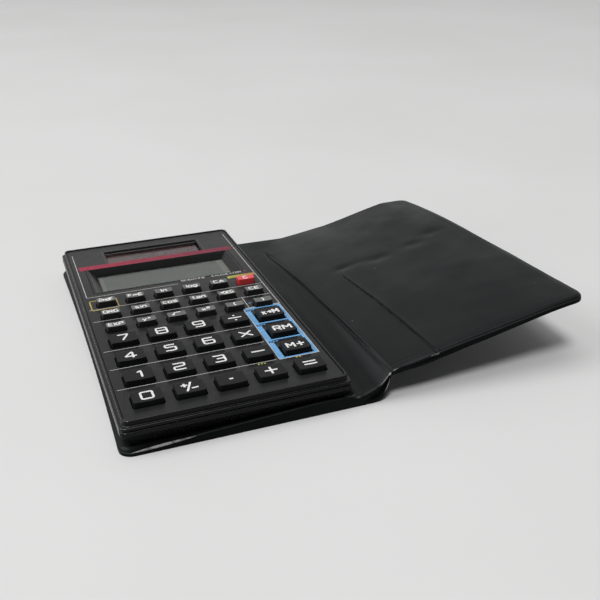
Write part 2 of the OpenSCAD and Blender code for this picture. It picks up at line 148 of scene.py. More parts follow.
def add_node(tree, kind, inputs=None, **settings):
    item = tree.nodes.new(kind)
    for key, value in settings.items():
        setattr(item, key, value)
    for key, value in (inputs or {}).items():
        if isinstance(value, bpy.types.NodeSocket):
            tree.links.new(value, item.inputs[key])
        else:
            item.inputs[key].default_value = value
    return item


def add_ramp(tree, factor, stops):
    """Colour ramp over a factor. Each stop is a position and a linear colour."""
    ramp = add_node(tree, "ShaderNodeValToRGB", {"Fac": factor})
    elements = ramp.color_ramp.elements
    while len(elements) < len(stops):
        elements.new(1.0)
    for element, (position, colour) in zip(elements, stops):
        element.position = position
        element.color = (*colour, 1)
    return ramp.outputs["Color"]


def add_mix(tree, factor, first, second):
    """Mix of two colours, each a socket or a plain colour."""
    mix = add_node(tree, "ShaderNodeMix", data_type="RGBA")
    for socket, value in ((mix.inputs[0], factor), (mix.inputs[6], first), (mix.inputs[7], second)):
        if isinstance(value, bpy.types.NodeSocket):
            tree.links.new(value, socket)
        else:
            socket.default_value = (*value, 1)
    return mix.outputs[2]


def add_noise(tree, coords, scale, detail=3.0):
    item = add_node(tree, "ShaderNodeTexNoise", {"Vector": coords, "Scale": scale, "Detail": detail})
    return item.outputs["Fac"]


def add_product(tree, first, second):
    """Colour of one socket dimmed by the colour of another."""
    mix = add_node(tree, "ShaderNodeMix", {0: 1.0, 6: first, 7: second}, data_type="RGBA",
                   blend_type="MULTIPLY")
    return mix.outputs[2]


def scaled(colour, share):
    return tuple(min(1.0, part * share) for part in colour)


def new_material(name):
    """Empty material with its tree, its shader and the object coordinates in metres."""
    material = bpy.data.materials.new(name)
    material.use_nodes = True
    tree = material.node_tree
    coords = add_node(tree, "ShaderNodeTexCoord").outputs["Object"]
    return material, tree, tree.nodes["Principled BSDF"], coords


def set_roughness(tree, shader, coords, scale, low, high):
    value = add_noise(tree, coords, scale)
    spread = add_node(tree, "ShaderNodeMapRange", {"Value": value, "From Min": 0.3, "From Max": 0.7,
                                                   "To Min": low, "To Max": high})
    tree.links.new(spread.outputs["Result"], shader.inputs["Roughness"])


def set_gloss(tree, shader, way, front, side, top, steep=0.5, flat=0.85):
    """Specular level of the sides that face the front, of the other sides and of what faces up, which paints
    shade and reflection by the way a face points: front faces darker, the other sides and tops lighter.

    A surface is a side if its normal points up by less than steep, and a top if by more than flat.
    """
    shader.inputs["Specular IOR Level"].default_value = top
    if front == side == top:
        return
    # Painted shade and reflection: the level follows the way a face points, not its material.
    flank = add_node(tree, "ShaderNodeMapRange", {"Value": way.outputs["Y"], "From Min": -0.4,
                                                  "From Max": -0.1, "To Min": front, "To Max": side})
    shine = add_node(tree, "ShaderNodeMapRange", {"Value": way.outputs["Z"], "From Min": steep,
                                                  "From Max": flat, "To Min": flank.outputs["Result"],
                                                  "To Max": top})
    tree.links.new(shine.outputs["Result"], shader.inputs["Specular IOR Level"])


def set_bump(tree, shader, height, strength, depth):
    bump = add_node(tree, "ShaderNodeBump", {"Height": height, "Strength": strength, "Distance": depth})
    tree.links.new(bump.outputs["Normal"], shader.inputs["Normal"])


def patchy(tree, coords, scale, colour):
    """A colour that drifts a little lighter and darker."""
    drift = add_noise(tree, coords, scale)
    return add_ramp(tree, drift, [(0.3, scaled(colour, 0.86)), (0.7, scaled(colour, 1.14))])


def moulded(name, colour, rough, worn=1.0, grain=2600, bump=0.25, top=None, gloss=(0.5, 0.5, 0.5)):
    """Moulded or printed surface: patchy tone, fine grain, worn edges and, where top is given, a lighter tone
    on the faces that point up, which is painted light on the tops; the worn edges take that tone too.

    Gloss is what set_gloss takes.
    """
    patch = 90
    material, tree, shader, coords = new_material(name)
    shape = add_node(tree, "ShaderNodeNewGeometry")
    way = add_node(tree, "ShaderNodeSeparateXYZ", {"Vector": shape.outputs["Normal"]})
    # Painted light: faces that point up take the top tone, which is lighter where it is given.
    top_light_share = add_ramp(tree, way.outputs["Z"], [(0.6, neutral(0)), (0.9, neutral(1))])
    sides = patchy(tree, coords, patch, colour)
    tone = add_mix(tree, top_light_share, sides, patchy(tree, coords, patch, top or colour))
    share = add_ramp(tree, shape.outputs["Pointiness"], [(0.52, neutral(0)), (0.62, neutral(1))])
    tree.links.new(add_mix(tree, share, tone, scaled(top or colour, worn)), shader.inputs["Base Color"])
    set_roughness(tree, shader, coords, 4 * patch, rough - 0.05, rough + 0.07)
    set_bump(tree, shader, add_noise(tree, coords, grain, 2.0), bump, 0.00003)
    # Painted shade and reflection: the specular level follows the way each face points.
    set_gloss(tree, shader, way, *gloss)
    return material


def ink(name, colour):
    """Screen-printed ink with slightly uneven cover."""
    material, tree, shader, coords = new_material(name)
    tone = add_ramp(tree, add_noise(tree, coords, 900), [(0.3, scaled(colour, 0.85)), (0.65, colour)])
    tree.links.new(tone, shader.inputs["Base Color"])
    set_roughness(tree, shader, coords, 500, 0.4, 0.55)
    return material


def fading_ink(name, left, right, x0, x1):
    """Ink that passes from one colour to another between two places on X."""
    material, tree, shader, coords = new_material(name)
    place = add_node(tree, "ShaderNodeSeparateXYZ", {"Vector": coords})
    share = add_node(tree, "ShaderNodeMapRange", {"Value": place.outputs["X"], "From Min": x0 * MM,
                                                  "From Max": x1 * MM})
    tone = add_ramp(tree, share.outputs["Result"], [(0.0, left), (1.0, right)])
    uneven = add_ramp(tree, add_noise(tree, coords, 700), [(0.35, neutral(0.8)), (0.6, neutral(1))])
    tree.links.new(add_product(tree, tone, uneven), shader.inputs["Base Color"])
    set_roughness(tree, shader, coords, 500, 0.4, 0.55)
    shader.inputs["Specular IOR Level"].default_value = 0.25
    return material


def add_specks(tree, coords):
    """Share of dust: a small dot in a few cells of a random pattern."""
    cells = add_node(tree, "ShaderNodeTexVoronoi", {"Vector": coords, "Scale": 210.0})
    dot = add_node(tree, "ShaderNodeMath", {0: cells.outputs["Distance"], 1: 0.035}, operation="LESS_THAN")
    pick = add_node(tree, "ShaderNodeSeparateColor", {"Color": cells.outputs["Color"]})
    few = add_node(tree, "ShaderNodeMath", {0: pick.outputs["Red"], 1: 0.7}, operation="GREATER_THAN")
    both = add_node(tree, "ShaderNodeMath", {0: dot.outputs["Value"], 1: few.outputs["Value"]},
                    operation="MULTIPLY")
    return both.outputs["Value"]


def vinyl(name):
    """Black soft vinyl with a fine leather grain, worn patches and specks of dust."""
    material, tree, shader, coords = new_material(name)
    tone = add_ramp(tree, add_noise(tree, coords, 38, 5.0), [(0.3, (0.0032, 0.0036, 0.0038)),
                                                             (0.7, (0.0065, 0.0073, 0.0074))])
    dusty = add_mix(tree, add_specks(tree, coords), tone, (0.3, 0.3, 0.29))
    tree.links.new(dusty, shader.inputs["Base Color"])
    set_roughness(tree, shader, coords, 70, 0.3, 0.44)
    facing = add_node(tree, "ShaderNodeNewGeometry").outputs["Normal"]
    # Painted shade and reflection: front faces get almost no specular level, the other sides much.
    set_gloss(tree, shader, add_node(tree, "ShaderNodeSeparateXYZ", {"Vector": facing}), 0.03, 0.9, 0.24)
    shader.inputs["Specular Tint"].default_value = (0.9, 0.98, 1.0, 1)
    cells = add_node(tree, "ShaderNodeTexVoronoi", {"Vector": coords, "Scale": 1700.0}, feature="SMOOTH_F1")
    ripples = add_noise(tree, coords, 160, 4.0)
    height = add_node(tree, "ShaderNodeMath", {0: cells.outputs["Distance"], 1: 0.25, 2: ripples},
                      operation="MULTIPLY_ADD")
    set_bump(tree, shader, height.outputs["Value"], 0.35, 0.00012)
    return material


def painted_glint_vinyl(name):
    """Vinyl made pale and glossy for the thin welts along the edges that show it: a painted glint, partly
    wear from handling.
    """
    material, tree, shader, coords = new_material(name)
    tone = add_ramp(tree, add_noise(tree, coords, 420, 4.0), [(0.36, (0.05, 0.048, 0.048)),
                                                              (0.6, (0.32, 0.31, 0.32))])
    tree.links.new(tone, shader.inputs["Base Color"])
    set_roughness(tree, shader, coords, 300, 0.16, 0.32)
    return material


def liquid_crystal(name):
    """Grey-green panel with the paler strips of bare glass at its two ends."""
    material, tree, shader, coords = new_material(name)
    place = add_node(tree, "ShaderNodeSeparateXYZ", {"Vector": coords}).outputs["X"]
    share = add_node(tree, "ShaderNodeMapRange", {"Value": place, "From Min": -0.025, "From Max": 0.025})
    grey = (0.092, 0.11, 0.098)
    pale = (0.2, 0.215, 0.18)
    tone = add_ramp(tree, share.outputs["Result"], [(0.0, pale), (0.036, pale), (0.042, grey), (0.942, grey),
                                                    (0.948, pale), (1.0, pale)])
    cloud = add_ramp(tree, add_noise(tree, coords, 60), [(0.3, neutral(0.9)), (0.7, neutral(1))])
    tree.links.new(add_product(tree, tone, cloud), shader.inputs["Base Color"])
    set_roughness(tree, shader, coords, 400, 0.3, 0.4)
    return material


def photocell(name):
    """Brown amorphous cell in four strips with thin dark lines between them."""
    material, tree, shader, coords = new_material(name)
    place = add_node(tree, "ShaderNodeSeparateXYZ", {"Vector": coords}).outputs["X"]
    strip = add_node(tree, "ShaderNodeMath", {0: place, 1: 0.0095}, operation="PINGPONG").outputs["Value"]
    line = add_node(tree, "ShaderNodeMapRange", {"Value": strip, "From Min": 0.00012, "From Max": 0.0002})
    brown = add_ramp(tree, add_noise(tree, coords, 110), [(0.3, (0.075, 0.034, 0.036)),
                                                          (0.7, (0.12, 0.058, 0.06))])
    film = add_mix(tree, line.outputs["Result"], (0.012, 0.01, 0.012), brown)
    tree.links.new(film, shader.inputs["Base Color"])
    set_roughness(tree, shader, coords, 300, 0.15, 0.25)
    return material


def clear_pane(name, tint):
    """Clear acrylic with faint wiping marks in its polish."""
    material, tree, shader, coords = new_material(name)
    set_roughness(tree, shader, coords, 220, 0.02, 0.07)
    shader.inputs["Base Color"].default_value = (*tint, 1)
    shader.inputs["Transmission Weight"].default_value = 1.0
    shader.inputs["IOR"].default_value = 1.49
    return material


def metal(name, colour):
    material, tree, shader, coords = new_material(name)
    tone = add_ramp(tree, add_noise(tree, coords, 600), [(0.3, scaled(colour, 0.8)), (0.7, colour)])
    tree.links.new(tone, shader.inputs["Base Color"])
    set_roughness(tree, shader, coords, 900, 0.25, 0.4)
    shader.inputs["Metallic"].default_value = 1.0
    return material


def floor_finish(name):
    material, tree, shader, coords = new_material(name)
    tone = add_ramp(tree, add_noise(tree, coords, 6), [(0.35, (0.69, 0.688, 0.685)),
                                                       (0.65, (0.715, 0.713, 0.712))])
    tree.links.new(tone, shader.inputs["Base Color"])
    shader.inputs["Roughness"].default_value = 0.85
    shader.inputs["Specular IOR Level"].default_value = 0.2
    return material


# Mesh building blocks

def smooth_share(low, high, value):
    share = min(1.0, max(0.0, (value - low) / (high - low)))
    return share * share * (3 - 2 * share)


def between(table, value):
    """Straight-line reading of a table of (place, height) pairs."""
    if value <= table[0][0]:
        return table[0][1]
    for (x0, y0), (x1, y1) in zip(table, table[1:]):
        if value <= x1:
            return y0 + (y1 - y0) * (value - x0) / (x1 - x0)
    return table[-1][1]


class Shape:
    """Points in millimetres and faces, each with the number of its material."""

    def __init__(self):
        self.points = []
        self.faces = []
        self.kinds = []

    def add(self, points, faces, kind=0):
        start = len(self.points)
        self.points.extend(points)
        self.faces.extend([[start + i for i in face] for face in faces])
        self.kinds.extend([kind] * len(faces))

    def loft(self, rings, kind=0):
        """Closed skin through rings of equal length, with a flat cap at each end."""
        count = len(rings[0])
        faces = []
        for k in range(len(rings) - 1):
            for i in range(count):
                j = (i + 1) % count
                faces.append([k * count + i, k * count + j, (k + 1) * count + j, (k + 1) * count + i])
        faces.append(list(range(count))[::-1])
        faces.append([(len(rings) - 1) * count + i for i in range(count)])
        self.add([point for ring in rings for point in ring], faces, kind)

    def make(self, name, materials, slot, angle=35):
        mesh = bpy.data.meshes.new(name)
        mesh.from_pydata([Vector(point) * MM for point in self.points], [], self.faces)
        for material in materials:
            mesh.materials.append(material)
        mesh.polygons.foreach_set("material_index", self.kinds)
        net = bmesh.new()
        net.from_mesh(mesh)
        bmesh.ops.recalc_face_normals(net, faces=net.faces)
        net.to_mesh(mesh)
        net.free()
        mesh.shade_smooth()
        mesh.set_sharp_from_angle(angle=math.radians(angle))
        piece = bpy.data.objects.new(name, mesh)
        bpy.context.collection.objects.link(piece)
        return piece


def rounded_loop(w, d, r, along=6):
    """Rounded rectangle about the origin, its straight sides cut up so that they can bend."""
    steps = 4
    corners = []
    for k, (sx, sy) in enumerate(((1, 1), (-1, 1), (-1, -1), (1, -1))):
        x = sx * (w / 2 - r)
        y = sy * (d / 2 - r)
        arc = [math.pi / 2 * (k + i / steps) for i in range(steps + 1)]
        corners.append([(x + r * math.cos(a), y + r * math.sin(a)) for a in arc])
    loop = []
    for k in range(4):
        x0, y0 = corners[k][-1]
        x1, y1 = corners[(k + 1) % 4][0]
        loop += corners[k]
        loop += [(x0 + (x1 - x0) * i / along, y0 + (y1 - y0) * i / along) for i in range(1, along)]
    return loop


def box_rings(x0, x1, y0, y1, z0, z1, bevel):
    """Rings of a block with a small bevel round its top."""
    def ring(inset, z):
        return [(x0 + inset, y0 + inset, z), (x1 - inset, y0 + inset, z), (x1 - inset, y1 - inset, z),
                (x0 + inset, y1 - inset, z)]
    return [ring(0, z0), ring(0, z1 - bevel), ring(bevel, z1)]


# Stroke lettering, in tenths of the capital height. A stroke that ends where it starts is closed.
GLYPHS = {
    "0": "0,0 9.2,0 9.2,10 0,10 0,0", "1": "2,7.8 5,10 5,0",
    "2": "0,10 9.2,10 9.2,5.5 0,4.6 0,0 9.4,0", "3": "0,10 9.2,10 9.2,0 0,0|2.4,5.2 9.2,5.2",
    "4": "6.8,0 6.8,10 0,2.8 9.8,2.8", "5": "9,10 .5,10 .5,5.8 9.2,5.8 9.2,0 0,0",
    "6": "8.8,10 0,10 0,0 9.2,0 9.2,5.6 0,5.6", "7": "0,10 9.2,10 3.5,0",
    "8": "0,0 9.2,0 9.2,10 0,10 0,0|0,5.2 9.2,5.2", "9": "9.2,4.4 0,4.4 0,10 9.2,10 9.2,0 .6,0",
    "A": "0,0 4.2,10 8.4,0|1.5,3.4 6.9,3.4", "C": "8,10 0,10 0,0 8,0",
    "D": "0,0 0,10 8.4,10 8.4,0 0,0", "E": "7.6,10 0,10 0,0 7.6,0|0,5.1 6.8,5.1",
    "F": "7.6,10 0,10 0,0|0,5.1 6.6,5.1", "G": "8.2,10 0,10 0,0 8.4,0 8.4,4.8 4.8,4.8",
    "M": "0,0 0,10 4.6,3.4 9.2,10 9.2,0", "P": "0,0 0,10 8,10 8,4.6 0,4.6",
    "R": "0,0 0,10 8,10 8,4.6 0,4.6|4,4.6 8.4,0", "I": "1,0 1,10", "L": "0,10 0,0 7,0",
    "N": "0,0 0,10 8.4,0 8.4,10", "O": "0,0 8.6,0 8.6,10 0,10 0,0", "S": "8,10 0,10 0,5.2 8,5.2 8,0 0,0",
    "T": "0,10 8,10|4,10 4,0", "U": "0,10 0,0 8.4,0 8.4,10", "X": "0,0 8.2,10|0,10 8.2,0",
    "a": "0.4,7 6.6,7 6.6,0 0,0 0,3.8 6.6,3.8", "c": "6.2,7 0,7 0,0 6.2,0",
    "d": "6.6,10 6.6,0 0,0 0,7 6.6,7", "g": "6.6,0 0,0 0,7 6.6,7 6.6,-2.6 .6,-2.6",
    "i": "1,0 1,7|1,9 1,10.4", "l": "1,0 1,10.4", "n": "0,0 0,7 6.4,7 6.4,0",
    "o": "0,0 6.8,0 6.8,7 0,7 0,0", "s": "6.2,7 0,7 0,3.6 6.2,3.6 6.2,0 0,0",
    "t": "2,10 2,0 5.2,0|0,7 5,7", "x": "0,0 6.6,7|0,7 6.6,0", "y": "0,7 3.4,0|7,7 2.2,-2.6",
    "→": "0,5 8,5|4.6,8 8,5 4.6,2", "↔": "0,5 9,5|6.4,7.6 9,5 6.4,2.4|2.6,7.6 0,5 2.6,2.4",
    "÷": "0,5 11,5|5.5,8 5.5,9.7|5.5,.3 5.5,2", "×": "0,1 9.4,9|0,9 9.4,1", "−": "0,5 10.4,5",
    "+": "0,5 9.6,5|4.8,9.6 4.8,.4", "=": "0,6.9 10,6.9|0,3.1 10,3.1", ".": "0,4.4 2.8,4.4",
    "±": "0,7.4 4.6,7.4|2.3,9.7 2.3,5.1|3,-.6 7.4,10.6|6.6,2.6 11.4,2.6",
    "√": "0,4.6 2.4,0 5.2,10.6 17,10.6", "(": "3,11 .6,8 .6,2 3,-1", ")": "0,11 2.4,8 2.4,2 0,-1",
}


def glyph_strokes(sign):
    return [[tuple(float(part) / 10 for part in pair.split(",")) for pair in stroke.split()]
            for stroke in GLYPHS[sign].split("|")]


def lay_out(text, cap, widest):
    """Strokes of a word in millimetres about its middle. The sign ^ raises the next one."""
    strokes = []
    pen = 0.0
    raised = False
    for sign in text:
        if sign == "^":
            raised = True
            continue
        size = 0.62 if raised else 1.0
        lift = 0.5 if raised else 0.0
        raised = False
        drawn = glyph_strokes(sign)
        strokes += [[(pen + x * size, lift + y * size) for x, y in stroke] for stroke in drawn]
        pen += max(x for stroke in drawn for x, y in stroke) * size + 0.32
    width = (pen - 0.32) * cap
    squeeze = min(1.0, widest / width)
    return [[((x * cap - width / 2) * squeeze, (y - 0.5) * cap) for x, y in stroke] for stroke in strokes]


def soften(path, r, closed):
    """Path with its corners rounded and its long runs cut up."""
    def leg(a, b, reach):
        run = math.dist(a, b)
        share = min(reach, 0.45 * run) / run
        return (a[0] + (b[0] - a[0]) * share, a[1] + (b[1] - a[1]) * share)

    points = path[:-1] if closed else path
    out = []
    for i, corner in enumerate(points):
        if not closed and i in (0, len(points) - 1):
            out.append(corner)
            continue
        start = leg(corner, points[i - 1], r)
        end = leg(corner, points[(i + 1) % len(points)], r)
        for k in range(5):
            t = k / 4
            out.append(tuple((1 - t) ** 2 * s + 2 * t * (1 - t) * c + t * t * e
                             for s, c, e in zip(start, corner, end)))
    fine = []
    for a, b in zip(out, out[1:] + (out[:1] if closed else [])):
        steps = max(1, math.ceil(math.dist(a, b) / 0.5))
        fine += [tuple(p + (q - p) * k / steps for p, q in zip(a, b)) for k in range(steps)]
    return fine if closed else fine + [out[-1]]


STROKE_SINK = 0.05
STROKE_PROUD = 0.02


def add_stroke(shape, path, width, surface, kind, rounding):
    """Thin raised strip along a path, on a surface that gives a height for a place."""
    closed = path[0] == path[-1]
    line = soften(path, rounding, closed)
    count = len(line)
    sections = []
    for i, point in enumerate(line):
        before = line[i - 1] if closed or i else point
        after = line[(i + 1) % count] if closed or i < count - 1 else point
        run = Vector((after[0] - before[0], after[1] - before[1])).normalized()
        side = Vector((-run.y, run.x)) * width / 2
        left = (point[0] + side.x, point[1] + side.y)
        right = (point[0] - side.x, point[1] - side.y)
        sections.append([(*left, surface(*left) - STROKE_SINK), (*left, surface(*left) + STROKE_PROUD),
                         (*right, surface(*right) + STROKE_PROUD), (*right, surface(*right) - STROKE_SINK)])
    if not closed:
        shape.loft(sections, kind)
        return
    faces = []
    for k in range(count):
        for i in range(4):
            j = (i + 1) % 4
            n = (k + 1) % count
            faces.append([k * 4 + i, k * 4 + j, n * 4 + j, n * 4 + i])
    shape.add([point for section in sections for point in section], faces, kind)


# Keys

SMALL_KEYS = [
    [("second_function", "2ndF"), ("notation", "F↔E"), ("ln", "ln"), ("log", "log"), ("clear_all", "CA"),
     ("clear", "C")],
    [("angle_unit", "DRG"), ("sin", "sin"), ("cos", "cos"), ("tan", "tan"), ("sexagesimal", "→DEG"),
     ("clear_entry", "CE")],
    [("exponent", "EXP"), ("power", "y^x"), ("root", "√"), ("square", "x^2"), ("open_bracket", "("),
     ("close_bracket", ")")],
]
LARGE_KEYS = [
    [("7", "7"), ("8", "8"), ("9", "9"), ("divide", "÷"), ("store", "x→M")],
    [("4", "4"), ("5", "5"), ("6", "6"), ("multiply", "×"), ("recall", "RM")],
    [("1", "1"), ("2", "2"), ("3", "3"), ("subtract", "−"), ("memory_add", "M+")],
    [("0", "0"), ("sign", "±"), ("point", "."), ("add", "+"), ("equals", "=")],
]
MAT_BOTTOM = 5.2
MAT_TOP = 5.7
# Radius and height of the rings of a dome
DOME = [(2.2, 5.65), (2.15, 5.85), (1.9, 6.25), (1.55, 6.6), (1.4, 6.8), (1.38, 6.98)]
KEY_DISH = 0.2
KEY_EDGE = 0.17
KEY_TAPER = 0.15
FOOT_R = 1.4
FOOT_Z = 7.0
FLANGE_OUT = 0.65
FLANGE_Z = 7.5
FLANGE_TOP = 8.5
SIDE_Z = 9.6


def key_surface(size):
    """Height of the dished top of a key at a place from its middle."""
    return lambda x, y: size["top"] - KEY_DISH * (1 - min(1.0, (2 * x / size["w"]) ** 2))


def key_body(shape, size):
    """Plunger, flange, tapered sides, rounded edge and dished top of a key about the origin."""
    w, d, top = size["w"], size["d"], size["top"]
    surface = key_surface(size)

    def ring(inset, z):
        return [(x, y, z) for x, y in rounded_loop(w - 2 * inset, d - 2 * inset, max(0.25, 0.7 - inset))]

    def draped(loop, drop):
        return [(x, y, surface(x, y) - drop) for x, y, z in loop]

    turns = [math.atan2(y, x) for x, y, z in ring(0, 0)]
    foot = [(FOOT_R * math.cos(a), FOOT_R * math.sin(a)) for a in turns]
    rings = [[(x, y, FOOT_Z) for x, y in foot], [(x, y, FLANGE_Z) for x, y in foot]]
    rings += [ring(-FLANGE_OUT, FLANGE_Z), ring(-FLANGE_OUT, FLANGE_TOP)]
    rings += [ring(0, FLANGE_TOP), ring(0, SIDE_Z)]
    for k in range(5):
        turn = math.pi / 2 * k / 4
        inset = KEY_TAPER + KEY_EDGE * (1 - math.cos(turn))
        rings.append(draped(ring(inset, top), KEY_EDGE * (1 - math.sin(turn))))
    rim = ring(KEY_TAPER + KEY_EDGE, top)
    for share in (0.8, 0.55, 0.3, 0.1):
        rings.append(draped([(x * share, y * share, z) for x, y, z in rim], 0))
    shape.loft(rings)


def add_legend(shape, size, text, cap, stroke, widest):
    surface = key_surface(size)
    for path in lay_out(text, cap, widest):
        add_stroke(shape, path, stroke, surface, 1, 0.16 * cap)


def make_key(name, place, size, text, cap, stroke, widest, plastic, white, slot):
    shape = Shape()
    key_body(shape, size)
    add_legend(shape, size, text, cap, stroke, widest)
    shape.points = [(x + place[0], y + place[1], z) for x, y, z in shape.points]
    piece = shape.make("keycap_" + name, [plastic, white], slot, 40)
    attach(piece, "key_" + name)
    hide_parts("key_" + name)


def small_place(r, c):
    return ((c - 2.5) * SMALL_PITCH[0], SMALL_BACK_Y - r * SMALL_PITCH[1])


def large_place(r, c):
    return ((c - 2) * LARGE_PITCH[0], LARGE_BACK_Y - r * LARGE_PITCH[1])


def key_places():
    """Name and middle of every key."""
    places = []
    for rows, place in ((SMALL_KEYS, small_place), (LARGE_KEYS, large_place)):
        places += [(name, *place(r, c)) for r, row in enumerate(rows) for c, (name, text) in enumerate(row)]
    return places


def make_keys(charcoal, black, red, white):
    for r, row in enumerate(SMALL_KEYS):
        for c, (name, text) in enumerate(row):
            plastic, slot = (red, "red_key") if name == "clear" else (charcoal, "key_plastic")
            make_key(name, small_place(r, c), SMALL_KEY, text, 1.85, 0.42, 4.8, plastic, white, slot)
    for r, row in enumerate(LARGE_KEYS):
        for c, (name, text) in enumerate(row):
            cap = 2.9 if len(text) > 1 else 3.7 if text.isdigit() else 4.2
            make_key(name, large_place(r, c), LARGE_KEY, text, cap, 0.65, 5.8, black, white, "key_plastic")


# Case, display and inner parts

def finish_case(case, face, bezel):
    """Rounds the moulded edges of the case and gives each half its plastic."""
    for name, material, width in (("upper_case", case, 0.32), ("lower_case", case, 0.25),
                                  ("face_plate", face, 0.06), ("display_bezel", bezel, 0.12)):
        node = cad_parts[name]
        set_material(node, material)
        weld = node.modifiers.new("weld", "WELD")
        weld.merge_threshold = 0.00001
        bevel = node.modifiers.new("round_edges", "BEVEL")
        bevel.width = width * MM
        bevel.segments = 3
        bevel.limit_method = "ANGLE"
        bevel.angle_limit = math.radians(40)
        bevel.use_clamp_overlap = False
        bevel.harden_normals = True


def set_material(node, material):
    node.data.materials.clear()
    node.data.materials.append(material)


def make_pane(name, node, w, d, y, z0, z1, material):
    """Clear window with a bevelled upper edge, a hair above the panel under it."""
    shape = Shape()
    shape.loft(box_rings(-w / 2, w / 2, y - d / 2, y + d / 2, z0 + 0.04, z1, 0.12))
    piece = shape.make(name, [material], "clear_window")
    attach(piece, "calculator")
    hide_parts(node)


def make_mat(rubber):
    """Rubber sheet under the keys, with a dome for each key."""
    low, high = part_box("key_mat")
    sheet = Shape()
    sheet.loft(box_rings(low[0] / MM, high[0] / MM, low[1] / MM, high[1] / MM, MAT_BOTTOM, MAT_TOP, 0.15))
    piece = sheet.make("mat_sheet", [rubber], "contact_rubber")
    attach(piece, "calculator")
    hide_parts("key_mat")
    for name, x, y in key_places():
        dome = Shape()
        rings = []
        for r, z in DOME:
            turns = [2 * math.pi * k / 20 for k in range(20)]
            rings.append([(x + r * math.cos(a), y + r * math.sin(a), z) for a in turns])
        dome.loft(rings)
        piece = dome.make("mat_dome_" + name, [rubber], "contact_rubber")
        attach(piece, "calculator")
        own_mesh(piece)


# Prints on the face plate

PRINT_SINK = 0.1
PRINT_PROUD = 0.025


def print_boxes(name, boxes, material, lift=0.0):
    """Flat areas of ink, each given by its sides, a little proud of the face or of the ink under it."""
    shape = Shape()
    for x0, x1, y0, y1 in boxes:
        shape.loft(box_rings(x0, x1, y0, y1, FACE_Z - PRINT_SINK, FACE_Z + PRINT_PROUD + lift, 0.005))
    piece = shape.make(name, [material], "face_print")
    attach(piece, "calculator")


def make_ledge(material):
    """Narrow step at the foot of the rear wall of the solar opening."""
    shape = Shape()
    shape.loft(box_rings(-18.9, 18.9, SOLAR_Y + 5.7, SOLAR_Y + 6.15, 9.0, 9.4, 0.08))
    piece = shape.make("solar_ledge", [material], "case_plastic")
    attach(piece, "calculator")


def across(y, x0, x1, width):
    return (x0, x1, y - width / 2, y + width / 2)


def upright(x, y0, y1, width):
    return (x - width / 2, x + width / 2, y0, y1)


def outline(x0, x1, y0, y1, width):
    low = y0 + width / 2
    high = y1 - width / 2
    return [across(y0, x0, x1, width), across(y1, x0, x1, width), upright(x0, low, high, width),
            upright(x1, low, high, width)]


def make_small_print(material):
    """Line of small plain words under the display."""
    shape = Shape()
    for word, middle in (("SCIENTIFIC", 8.3), ("CALCULATOR", 21.3)):
        for path in lay_out(word, 1.05, 11.9):
            line = [(x + middle, y + 20.15) for x, y in path]
            add_stroke(shape, line, 0.27, lambda x, y: FACE_Z, 0, 0.1)
    piece = shape.make("print_small_words", [material], "face_print")
    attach(piece, "calculator")


def make_prints(grey, dim, black, crimson, ochre, blue, amber, magenta):
    print_boxes("print_frame_lines", [upright(-31.6, 17.85, 59.8, 0.26), across(18.0, -31.6, 2.0, 0.26),
                                      upright(31.6, -10.7, 60.8, 0.26), upright(20.5, -10.7, -1.7, 0.26),
                                      across(-10.9, 18.2, 31.75, 0.3)], grey)
    rows = [across(y, -32.3, 31.2, 0.22) for y in (7.4, -2.2)]
    rows += [across(y, -32.3, 17.2, 0.22) for y in (-24.2, -36.2, -48.5)]
    print_boxes("print_row_lines", rows, grey)
    print_boxes("print_stripe", [across(45.05, -30.8, 30.7, 3.6)], crimson)
    print_boxes("print_second_function_frame", outline(-31.2, -21.8, 6.9, 14.6, 0.42), ochre)
    print_boxes("print_amber_band", [across(16.7, 20.7, 31.3, 2.1)], amber)
    bars = [across(large_place(r, 0)[1] - 4.05, 20.0, 30.1, 0.8) for r in range(3)]
    print_boxes("print_memory_block", [upright(19.05, -48.8, -11.15, 1.9), upright(30.75, -48.8, -11.15, 1.3),
                                       across(-11.75, 20.0, 30.1, 1.2)] + bars, blue)
    print_boxes("print_memory_outline", outline(18.1, 31.4, -48.8, -11.15, 0.26), grey, 0.02)
    label_rows = (-13.0, -24.9, -37.3)
    labels = [across(y, 18.5, 21.8, 1.1) for y in label_rows]
    print_boxes("print_memory_labels", labels, black, 0.02)
    marks = [across(y, x, x + 0.7, 0.5) for y in label_rows for x in (18.9, 19.9, 20.9)]
    print_boxes("print_label_marks", marks + [across(-7.4, 21.3, 22.3, 0.4)], blue, 0.04)
    below = [across(-49.3, x, x + 0.6, 0.7) for x in (10.8, 11.8, 12.8, 23.3, 24.4)]
    print_boxes("print_amber_marks", below, amber)
    print_boxes("print_dot", [across(20.8, 28.3, 29.1, 0.8)], magenta)
    make_ledge(dim)
    make_small_print(grey)
    print_boxes("print_solar_frame", [upright(-19.8, 47.2, 60.0, 0.25), upright(19.8, 47.2, 60.0, 0.25),
                                      across(60.1, -19.9, 19.9, 0.25)], dim)


# Wallet

# Place along the cover and the place across it that the slit or the furrow has there
SLIT = [(-69.5, 16.3), (-45, 16.5), (-20, 15.9), (5.7, 14.5), (11.6, 17.25)]
FURROW = [(-69, 0.2), (-55, 0.2), (-25, 0.0), (-10, -0.35), (10, -0.55), (36, -1.5), (54, -2.9)]
# Place across the cover and the bend of its rear edge there
REAR_DROOP = [(0, 1.0), (10, 2.0), (20, 2.6), (30, 2.9), (40, 2.5), (50, 1.95), (60, 1.6), (70, 2.8)]
# Place across and along the cover, depth and size of each dent
DENTS = [(17.3, 11.6, 0.42, 3.6), (24.5, 11.4, 0.25, 4.0), (31.5, 9.4, 0.5, 4.4), (47.4, 10.9, 0.42, 4.4),
         (58.1, 15.9, 0.4, 5.0)]
